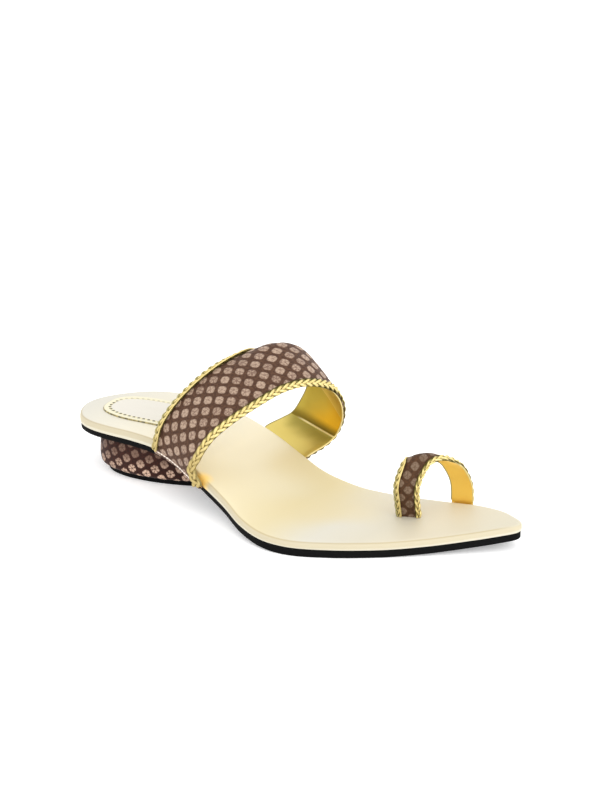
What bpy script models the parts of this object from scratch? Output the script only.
"""Right-foot slip-on sandal: low covered heel, instep strap and toe ring.

X runs from the heel to the toes, +Y to the inner side of the foot and +Z up.
The floor is z = 0. The pieces are drawn with x = 0 at the back of the heel,
and an empty then puts the origin on the floor under the middle of the heel.
All sizes are in metres.
"""
import math

import bmesh
import bpy
import numpy as np

GAP = 0.0003            # left between pieces that meet
LATERAL, MEDIAL = 0, 1  # columns of the outline's sides
OUTWARD = (-1.0, 1.0)   # direction of y away from the foot on those sides
BACK, FRONT = 0, 1      # a strap's two edges

# Sole ----------------------------------------------------------------------
LENGTH = 0.256          # heel to toe tip, over the footbed
HEEL_RISE = 0.0216      # underside of the outsole at the heel
WAIST_START = 0.040     # where the underside leaves its heel level
BALL_START = 0.165      # where the underside reaches the floor
SPRING_START = 0.200    # where the toe spring begins
TOE_SPRING = 0.006      # underside of the toe tip
SPRING_POWER = 1.7
OUTSOLE_INSET = 0.0005  # outsole edge inside the footbed edge
FOOTBED_ROUND = 0.0022  # radius of the footbed's top edge
ROUND_STEPS = 4
STATIONS = 48           # cross lines from heel to toe
SOLE_STACK = [          # x, thickness of outsole and footbed together
    (0.000, 0.0078),
    (0.060, 0.0082),
    (0.160, 0.0084),
    (0.256, 0.0084),
]
OUTSOLE_THICKNESS = [   # x, thickness of the outsole
    (0.000, 0.0028),
    (0.100, 0.0028),
    (0.160, 0.0042),
    (0.256, 0.0036),
]
OUTLINE = [             # x, lateral y, medial y
    (0.000, -0.0050, -0.0050),
    (0.004, -0.0169, 0.0090),
    (0.010, -0.0238, 0.0178),
    (0.020, -0.0279, 0.0272),
    (0.032, -0.0285, 0.0325),
    (0.048, -0.0276, 0.0345),
    (0.062, -0.0266, 0.0350),
    (0.080, -0.0293, 0.0348),
    (0.099, -0.0360, 0.0326),
    (0.119, -0.0438, 0.0277),
    (0.134, -0.0515, 0.0238),
    (0.150, -0.0556, 0.0229),
    (0.166, -0.0537, 0.0233),
    (0.184, -0.0449, 0.0263),
    (0.203, -0.0315, 0.0318),
    (0.221, -0.0168, 0.0352),
    (0.236, -0.0034, 0.0331),
    (0.248, 0.0074, 0.0268),
    (0.256, 0.0177, 0.0177),
]

# Heel and heel sock: egg-shaped plans ----------------------------------------
EGG_SIDES = 48
EGG_SQUARE = 0.70       # below 1, the oval is fuller at its shoulders
HEEL_EGG = {
    "middle": (0.052, 0.0015),
    "half_length": 0.035,
    "half_width": 0.0215,
    "back_heavy": 0.22,
    "yaw": math.radians(6),
}
SOCK_EGG = {
    "middle": (0.042, 0.002),
    "half_length": 0.031,
    "half_width": 0.0162,
    "back_heavy": 0.12,
    "yaw": math.radians(7),
}
SOCK_THICKNESS = 0.0008
LIFT_THICKNESS = 0.0028
HEEL_SWELL = [          # share of the height, how far the side stands out
    (0.00, 0.0018),
    (0.10, 0.0032),
    (0.28, 0.0038),
    (0.55, 0.0038),
    (0.80, 0.0034),
    (1.00, 0.0026),
]

# Instep strap ------------------------------------------------------------------
STRAP_WALL = 0.0016
STRAP_STEP = 0.0044     # length of its facets
STRAP_COLUMNS = 6       # points from its back edge to its front edge
STRAP_TAB = 0.011       # how far its ends run in under the footbed
STRAP_LATERAL = (0.0650, 0.1005)    # x of its back and front edges at the sole
STRAP_MEDIAL = (0.0872, 0.1187)
STRAP_LATERAL_ROLL = [  # outside the sole edge, above the level of the tab
    (-STRAP_TAB, 0.0000),
    (-0.0030, 0.0000),
    (-0.0006, 0.0002),
    (0.0009, -0.0001),
    (0.0022, -0.0002),
    (0.0031, 0.0009),
    (0.0034, 0.0026),
]
STRAP_ARCH = [          # back edge x, y, z; front edge x, y, z; crown; curl of the back edge
    (0.0659, -0.0308, 0.0290, 0.0975, -0.0398, 0.0230, -0.0012, 0.0000),
    (0.0676, -0.0286, 0.0378, 0.1005, -0.0395, 0.0320, 0.0000, 0.0000),
    (0.0712, -0.0238, 0.0466, 0.1045, -0.0350, 0.0410, 0.0010, 0.0000),
    (0.0770, -0.0152, 0.0566, 0.1104, -0.0255, 0.0490, 0.0020, 0.0000),
    (0.0838, -0.0042, 0.0655, 0.1175, -0.0120, 0.0560, 0.0025, 0.0006),
    (0.0908, 0.0100, 0.0720, 0.1230, 0.0030, 0.0603, 0.0028, 0.0044),
    (0.0973, 0.0251, 0.0762, 0.1275, 0.0180, 0.0598, 0.0031, 0.0094),
    (0.1021, 0.0389, 0.0719, 0.1303, 0.0310, 0.0543, 0.0016, 0.0084),
    (0.1045, 0.0478, 0.0592, 0.1312, 0.0405, 0.0458, 0.0012, 0.0055),
    (0.1047, 0.0511, 0.0457, 0.1307, 0.0455, 0.0360, 0.0017, 0.0000),
    (0.1010, 0.0499, 0.0345, 0.1288, 0.0466, 0.0270, 0.0007, 0.0000),
    (0.0969, 0.0470, 0.0272, 0.1260, 0.0450, 0.0205, 0.0000, 0.0000),
    (0.0938, 0.0438, 0.0250, 0.1242, 0.0420, 0.0180, 0.0000, 0.0000),
]
STRAP_CURL = 0.28       # part of the width that curls
STRAP_MEDIAL_TURN = [   # outside the sole edge, above the level of the tab
    (0.0022, 0.0010),
    (-0.0008, 0.0001),
    (-0.0030, 0.0000),
    (-STRAP_TAB, 0.0000),
]

# Toe ring ------------------------------------------------------------------------
RING_WALL = 0.0012
RING_STEP = 0.0026
RING_COLUMNS = 4
RING_TAB = 0.008
RING_SLOT_BACK = (0.1930, 0.0026)   # the leg that stands in the footbed
RING_SLOT_FRONT = (0.2040, 0.0073)
RING_MEDIAL = (0.2061, 0.2173)      # x of the leg at the medial edge
RING_HEIGHT = (0.0297, 0.0275)      # of its back and front, over the footbed
RING_ARCH = [           # share of the span, share of the height, crown, curl
    (-0.035, 0.300, 0.0000, 0.0000),
    (-0.044, 0.583, 0.0004, 0.0004),
    (0.048, 0.833, 0.0004, 0.0012),
    (0.158, 0.991, 0.0010, 0.0022),
    (0.370, 1.023, 0.0008, 0.0027),
    (0.574, 0.936, 0.0005, 0.0026),
    (0.759, 0.798, 0.0006, 0.0008),
    (0.891, 0.586, 0.0003, 0.0003),
    (0.975, 0.355, 0.0000, 0.0000),
]
RING_CURL = 0.36
RING_MEDIAL_TURN = [    # outside the sole edge, above the level of the tab
    (0.0012, 0.0008),
    (0.0004, -0.0002),
    (-0.0012, 0.0000),
    (-RING_TAB, 0.0000),
]

# Braids --------------------------------------------------------------------------
STRAP_BRAID = (0.0040, 0.0016)    # width, height
RING_BRAID = (0.0031, 0.0013)
BRAID_GAP = 0.0005      # under a braid, whose facets turn with the strap
BRAID_PROFILE = [       # share of the width, share of the height
    (0.00, 0.00),
    (0.00, 0.45),
    (0.16, 0.88),
    (0.50, 1.00),
    (0.84, 0.88),
    (1.00, 0.45),
    (1.00, 0.00),
]

MATERIALS = {           # colour, roughness, metallic
    "black_rubber": ((0.012, 0.012, 0.013), 0.55, 0.0),
    "cream_leather": ((0.86, 0.78, 0.56), 0.38, 0.25),
    "brocade": ((0.13, 0.055, 0.045), 0.80, 0.0),
    "gold_braid": ((0.80, 0.62, 0.22), 0.35, 0.75),
}


# Curves ----------------------------------------------------------------------------
def smoothstep(share):
    share = np.clip(share, 0.0, 1.0)
    return share * share * (3.0 - 2.0 * share)


def smooth_rows(knots, rows, at):
    """Read a smooth curve through one row of values at each knot."""
    slopes = np.gradient(rows, knots, axis=0)
    span = np.clip(np.searchsorted(knots, at, side="right") - 1, 0, len(knots) - 2)
    width = (knots[span + 1] - knots[span])[:, None]
    share = (at - knots[span])[:, None] / width
    rise = smoothstep(share)
    lead = share * (1.0 - share) ** 2 * width * slopes[span]
    trail = share * share * (share - 1.0) * width * slopes[span + 1]
    return rows[span] * (1.0 - rise) + rows[span + 1] * rise + lead + trail


def unit(vectors):
    return vectors / np.linalg.norm(vectors, axis=-1)[..., None]


def blend(start, end, count):
    """Points in a straight line from start to end."""
    share = np.linspace(0.0, 1.0, count)[:, None]
    return np.array(start) * (1.0 - share) + np.array(end) * share


# Levels and outline of the sole --------------------------------------------------------
def underside(x):
    """Height of the outsole's lower face."""
    drop = smoothstep((x - WAIST_START) / (BALL_START - WAIST_START))
    spring = np.maximum((x - SPRING_START) / (LENGTH - SPRING_START), 0.0)
    return HEEL_RISE * (1.0 - drop) + TOE_SPRING * spring ** SPRING_POWER


def seam(x):
    """Height of the outsole's upper face, where the straps are held."""
    return underside(x) + np.interp(x, *np.transpose(OUTSOLE_THICKNESS))


def footbed_top(x):
    return underside(x) + np.interp(x, *np.transpose(SOLE_STACK))


def turn(x):
    """Angle of a cross line: it closes the outline round at both ends."""
    return np.arccos(1.0 - 2.0 * x / LENGTH)


def sides(x):
    """Lateral and medial y of the outline at each x."""
    table = np.array(OUTLINE)
    return smooth_rows(turn(table[:, 0]), table[:, 1:], turn(x))


def outline_ring(inset):
    """Outline moved inwards: heel, lateral side, toe, medial side."""
    x = LENGTH * (1.0 - np.cos(np.linspace(0.0, math.pi, STATIONS + 1))) / 2.0
    pair = sides(x)
    there = np.column_stack([x, pair[:, LATERAL]])
    back = np.column_stack([x, pair[:, MEDIAL]])[-2:0:-1]
    ring = np.vstack([there, back])
    tangent = unit(np.roll(ring, -1, axis=0) - np.roll(ring, 1, axis=0))
    outward = np.column_stack([tangent[:, 1], -tangent[:, 0]])
    return ring - inset * outward


def egg_ring(middle, half_length, half_width, back_heavy, yaw, swell=0.0):
    """Egg-shaped plan, standing out by swell all round."""
    angles = np.arange(EGG_SIDES) * 2.0 * math.pi / EGG_SIDES
    cosine, sine = np.cos(angles), np.sin(angles)
    along = -(half_length + swell) * cosine
    full = np.sign(sine) * np.abs(sine) ** EGG_SQUARE
    across = -(half_width + swell) * full * (1.0 + back_heavy * cosine)
    x = middle[0] + along * math.cos(yaw) - across * math.sin(yaw)
    y = middle[1] + along * math.sin(yaw) + across * math.cos(yaw)
    return np.column_stack([x, y])


def at_height(ring, height):
    """Lay a flat ring on a surface whose height depends on x."""
    return np.column_stack([ring, height(ring[:, 0])])


# Mesh helpers ----------------------------------------------------------------------------
def new_object(name, bm, slot, collection):
    mesh = bpy.data.meshes.new(name)
    bm.to_mesh(mesh)
    bm.free()
    mesh.materials.append(bpy.data.materials[slot])
    mesh.shade_smooth()
    mesh.set_sharp_from_angle(angle=math.radians(40))
    part = bpy.data.objects.new(name, mesh)
    collection.objects.link(part)
    return part


def loft(bm, rings):
    """Join closed rings of equal count with bands of faces."""
    loops = [[bm.verts.new(point) for point in ring] for ring in rings]
    count = len(loops[0])
    for low, high in zip(loops, loops[1:]):
        for i in range(count):
            j = (i + 1) % count
            bm.faces.new((low[i], low[j], high[j], high[i]))
    return loops


def rungs(loop):
    """Faces across a closed loop, from one side of it to the other."""
    last = len(loop) // 2 - 1
    for i in range(last + 1):
        rung = [loop[i], loop[i + 1], loop[-i - 1], loop[-i]]
        if i == 0:
            rung.pop()
        elif i == last:
            rung.pop(2)
        yield rung


def layer_object(name, rings, slot, collection):
    """Solid through rings from bottom to top, with its caps made of rungs."""
    bm = bmesh.new()
    loops = loft(bm, rings)
    for rung in rungs(loops[0]):
        bm.faces.new(rung[::-1])
    for rung in rungs(loops[-1]):
        bm.faces.new(rung)
    return new_object(name, bm, slot, collection)


def sheet_object(name, grid, thickness, offset, slot, collection):
    """Open sheet through a grid of points, made a wall by Solidify."""
    bm = bmesh.new()
    verts = [[bm.verts.new(point) for point in row] for row in grid]
    for low, high in zip(verts, verts[1:]):
        for i in range(len(low) - 1):
            bm.faces.new((low[i], low[i + 1], high[i + 1], high[i]))
    sheet = new_object(name, bm, slot, collection)
    wall = sheet.modifiers.new("wall", "SOLIDIFY")
    wall.thickness = thickness
    wall.offset = offset
    wall.use_even_offset = True
    return sheet


# Sole pieces -------------------------------------------------------------------------------
def make_outsole(collection):
    ring = outline_ring(OUTSOLE_INSET)
    rings = [at_height(ring, underside), at_height(ring, seam)]
    return layer_object("outsole", rings, "black_rubber", collection)


def make_footbed(collection):
    rings = [at_height(outline_ring(0.0), lambda x: seam(x) + GAP)]
    for step in range(ROUND_STEPS + 1):
        angle = math.pi / 2.0 * step / ROUND_STEPS
        inset = FOOTBED_ROUND * (1.0 - math.cos(angle))
        drop = FOOTBED_ROUND * (1.0 - math.sin(angle))
        rings.append(at_height(outline_ring(inset), lambda x: footbed_top(x) - drop))
    return layer_object("footbed", rings, "cream_leather", collection)


def make_heel_lift(collection):
    ring = egg_ring(**HEEL_EGG)
    rings = [at_height(ring, lambda x: 0.0 * x + level) for level in (0.0, LIFT_THICKNESS)]
    return layer_object("heel_lift", rings, "black_rubber", collection)


def make_heel_block(collection):
    foot = LIFT_THICKNESS + GAP
    rings = []
    for share, swell in HEEL_SWELL:
        ring = egg_ring(**HEEL_EGG, swell=swell)
        rings.append(at_height(ring, lambda x: foot + share * (underside(x) - GAP - foot)))
    return layer_object("heel_block", rings, "brocade", collection)


def make_heel_sock(collection):
    ring = egg_ring(**SOCK_EGG)
    levels = (GAP, GAP + SOCK_THICKNESS)
    rings = [at_height(ring, lambda x: footbed_top(x) + level) for level in levels]
    return layer_object("heel_sock", rings, "cream_leather", collection)


# Straps --------------------------------------------------------------------------------------
def sole_row(span, side, reach, lift, columns, wall):
    """Row of lining points along a sole edge, reach outside it."""
    x = np.linspace(span[BACK], span[FRONT], columns)
    y = sides(x)[:, side] + OUTWARD[side] * reach
    return np.column_stack([x, y, seam(x) + GAP + wall + lift])


def sole_rows(span, side, turns, columns, wall):
    return [sole_row(span, side, reach, lift, columns, wall) for reach, lift in turns]


def dense_rows(rows, step):
    """Fill in rows on a smooth path, and tell where the given ones are."""
    rows = np.array(rows)
    gaps = np.linalg.norm(np.diff(rows, axis=0), axis=2).mean(axis=1)
    knots = np.concatenate([[0.0], np.cumsum(gaps)])
    at = [0.0]
    given = [0]
    for start, gap in zip(knots, gaps):
        parts = max(1, round(gap / step))
        at.extend(start + gap * (k + 1) / parts for k in range(parts))
        given.append(len(at) - 1)
    filled = smooth_rows(knots, rows.reshape(len(rows), -1), np.array(at))
    return filled.reshape(len(at), -1, 3), given


def outward_normals(grid):
    """Normals of a grid of lining points, away from the foot."""
    along = np.gradient(grid, axis=0)
    across = np.gradient(grid, axis=1)
    return unit(np.cross(across, along))


def crowned(rows, bends, curl_share):
    """Raise each row in its middle by its crown, and lower its back edge by its curl."""
    share = np.linspace(0.0, 1.0, rows.shape[1])
    hump = np.outer(bends[:, 0], 4.0 * share * (1.0 - share))
    edge = np.outer(bends[:, 1], np.maximum(1.0 - share / curl_share, 0.0) ** 2)
    return rows + outward_normals(rows) * (hump - edge)[..., None]


def bends_between(first, arch, last):
    """Crowns and curls of all rows: none before and after the arch."""
    return np.vstack([np.zeros((first, 2)), arch, np.zeros((last, 2))])


def strap_grid():
    """Lining of the instep strap, from its lateral tab to its medial tab."""
    columns = STRAP_COLUMNS
    arch = np.array(STRAP_ARCH)
    lateral = sole_rows(STRAP_LATERAL, LATERAL, STRAP_LATERAL_ROLL, columns, STRAP_WALL)
    middle = [blend(row[:3], row[3:6], columns) for row in arch]
    medial = sole_rows(STRAP_MEDIAL, MEDIAL, STRAP_MEDIAL_TURN, columns, STRAP_WALL)
    bends = bends_between(len(lateral), arch[:, 6:], len(medial))
    rows = crowned(np.array(lateral + middle + medial), bends, STRAP_CURL)
    return dense_rows(rows, STRAP_STEP)


def ring_grid():
    """Lining of the toe ring, from its slot to its medial tab."""
    columns = RING_COLUMNS
    medial = sole_rows(RING_MEDIAL, MEDIAL, RING_MEDIAL_TURN, columns, RING_WALL)
    start = blend(RING_SLOT_BACK, RING_SLOT_FRONT, columns)
    end = medial[0][:, :2]
    height = np.linspace(RING_HEIGHT[BACK], RING_HEIGHT[FRONT], columns)
    base = footbed_top((start[:, 0] + end[:, 0]) / 2.0)
    rows = [at_height(start, lambda x: seam(x) + GAP), at_height(start, footbed_top)]
    for across, up, crown, curl in RING_ARCH:
        plan = start * (1.0 - across) + end * across
        rows.append(np.column_stack([plan, base + height * up]))
    rows.append(at_height(end, footbed_top))
    bends = bends_between(2, np.array(RING_ARCH)[:, 2:], 1 + len(medial))
    rows = crowned(np.array(rows + medial), bends, RING_CURL)
    return dense_rows(rows, RING_STEP)


def grown(grid, margin):
    """The same grid with each of its four edges moved out."""
    wide = grid.copy()
    wide[:, 0] -= margin * unit(grid[:, 1] - grid[:, 0])
    wide[:, -1] += margin * unit(grid[:, -1] - grid[:, -2])
    wide[0] -= margin * unit(grid[1] - grid[0])
    wide[-1] += margin * unit(grid[-1] - grid[-2])
    return wide


def make_strap(name, grid, wall, footbed, collection, cutters):
    """A strap, and the room for its ends in the footbed."""
    strap = sheet_object(name, grid, wall, 1.0, "brocade", collection)
    room = wall + 2.0 * GAP
    offset = 1.0 - 2.0 * GAP / room
    cutter = sheet_object(name + "_room", grown(grid, GAP), room, offset, "brocade", cutters)
    cutter.hide_render = True
    cutter.display_type = "WIRE"
    cut = footbed.modifiers.new(name + "_room", "BOOLEAN")
    cut.operation = "DIFFERENCE"
    cut.solver = "EXACT"
    cut.object = cutter
    return strap


def make_braid(name, grid, wall, size, edge, collection):
    """Half-round braid along one edge of a strap's outer face."""
    width, height = size
    normals = outward_normals(grid)
    outer = grid + normals * (wall + BRAID_GAP)
    rim, inner = (0, 1) if edge == BACK else (-1, -2)
    across = unit(outer[:, inner] - outer[:, rim])
    sections = []
    for point, side, up in zip(outer[:, rim], across, normals[:, rim]):
        sections.append([point + side * width * a + up * height * b for a, b in BRAID_PROFILE])
    bm = bmesh.new()
    loops = loft(bm, sections)
    bm.faces.new(loops[0])
    bm.faces.new(loops[-1])
    bmesh.ops.recalc_face_normals(bm, faces=bm.faces)
    return new_object(name, bm, "gold_braid", collection)


def make_instep(footbed, collection, cutters):
    grid, given = strap_grid()
    make_strap("instep_strap", grid, STRAP_WALL, footbed, collection, cutters)
    first = given[len(STRAP_LATERAL_ROLL) - 2]
    last = given[-len(STRAP_MEDIAL_TURN)]
    shown = grid[first:last + 1]
    for name, edge in (("instep_braid_back", BACK), ("instep_braid_front", FRONT)):
        make_braid(name, shown, STRAP_WALL, STRAP_BRAID, edge, collection)


def make_toe_ring(footbed, collection, cutters):
    grid, given = ring_grid()
    make_strap("toe_ring", grid, RING_WALL, footbed, collection, cutters)
    first = given[1] + 1
    last = given[-len(RING_MEDIAL_TURN) - 1]
    shown = grid[first:last + 1]
    for name, edge in (("ring_braid_back", BACK), ("ring_braid_front", FRONT)):
        make_braid(name, shown, RING_WALL, RING_BRAID, edge, collection)


# Assembly --------------------------------------------------------------------------------------
def make_materials():
    for name, (colour, roughness, metallic) in MATERIALS.items():
        material = bpy.data.materials.new(name)
        material.use_nodes = True
        shader = material.node_tree.nodes["Principled BSDF"]
        shader.inputs["Base Color"].default_value = (*colour, 1.0)
        shader.inputs["Roughness"].default_value = roughness
        shader.inputs["Metallic"].default_value = metallic


def new_collection(name):
    collection = bpy.data.collections.new(name)
    bpy.context.scene.collection.children.link(collection)
    return collection


def main():
    for old in list(bpy.data.objects):
        bpy.data.objects.remove(old, do_unlink=True)
    make_materials()
    sandal = new_collection("sandal")
    cutters = new_collection("cutters")

    make_outsole(sandal)
    footbed = make_footbed(sandal)
    make_heel_lift(sandal)
    make_heel_block(sandal)
    make_heel_sock(sandal)
    make_instep(footbed, sandal, cutters)
    make_toe_ring(footbed, sandal, cutters)

    parts = list(sandal.objects) + list(cutters.objects)
    origin = bpy.data.objects.new("sandal_origin", None)
    sandal.objects.link(origin)
    x, y = HEEL_EGG["middle"]
    origin.location = (-x, -y, 0.0)
    for part in parts:
        part.parent = origin


main()
